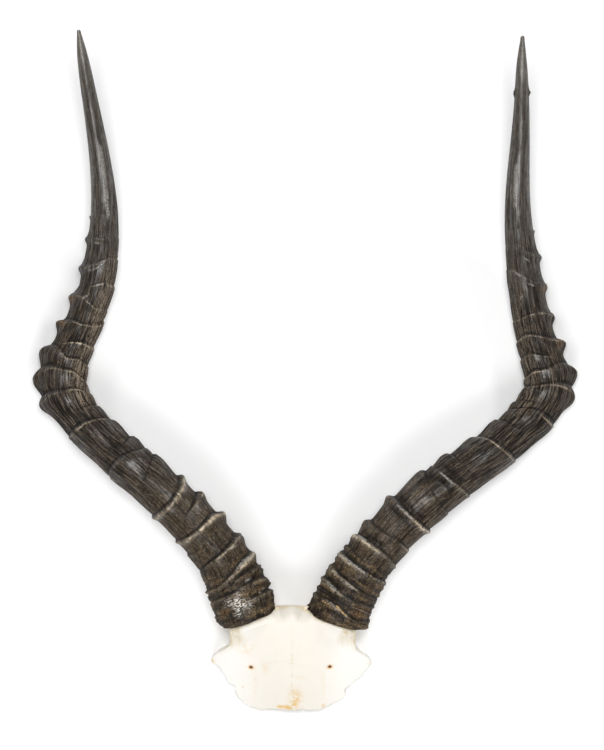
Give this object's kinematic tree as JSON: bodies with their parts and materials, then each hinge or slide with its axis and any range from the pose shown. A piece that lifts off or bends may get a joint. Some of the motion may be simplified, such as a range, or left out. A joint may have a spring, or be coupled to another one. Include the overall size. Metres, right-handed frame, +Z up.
{
  "type": "antelope horns on a skull plate",
  "caption": "Pair of ringed, lyre-shaped antelope horns on the sawn plate of forehead bone that they grew from, lying on its back.",
  "frame": {"origin": "on the table below the middle of the object, which lies on its back with the forehead up", "axes": "+Y from the nasal end of the bone towards the horns' tips, +X to the right of a viewer who faces the forehead, +Z up from the table"},
  "size_m": [0.4037, 0.4944, 0.1064],
  "materials": {
    "horn": "satin",
    "bone": "matte"
  },
  "bodies": {
    "root": {"horn_left": "horn", "horn_right": "horn", "skull_plate": "bone"}
  },
  "joints": []
}
